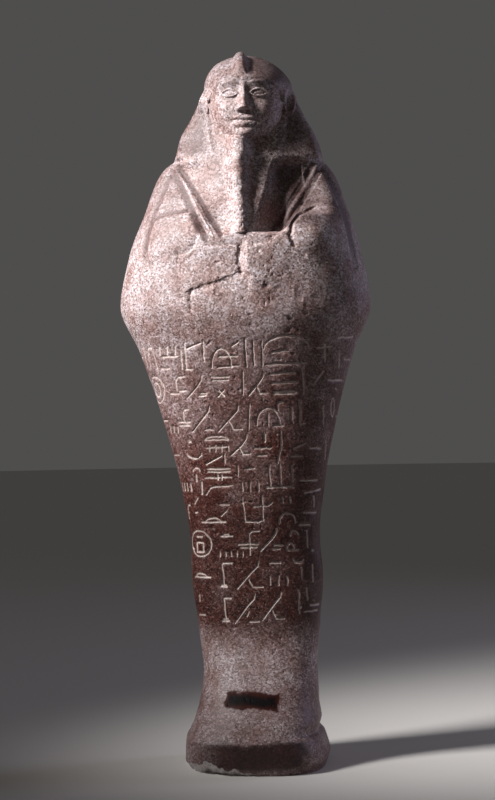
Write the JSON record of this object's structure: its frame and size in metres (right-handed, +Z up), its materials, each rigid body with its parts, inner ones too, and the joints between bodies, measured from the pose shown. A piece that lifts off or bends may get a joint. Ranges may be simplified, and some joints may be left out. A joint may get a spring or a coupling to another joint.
{
  "type": "shabti",
  "caption": "Mummy-shaped stone servant figure with a plain headcloth, long beard, crossed hands with hoes, an inscribed skirt zone and a foot block.",
  "frame": {"origin": "middle of the bounding box at the level of the sole", "axes": "+Z up through the crown, the figure faces -Y, +X towards the figure's left hand"},
  "size_m": [0.1648, 0.106, 0.4646],
  "materials": {
    "granite": "speckled red granite, polished on the legs, worn matte on head, chest and feet"
  },
  "bodies": {
    "root": {"shabti": "granite"}
  },
  "joints": []
}
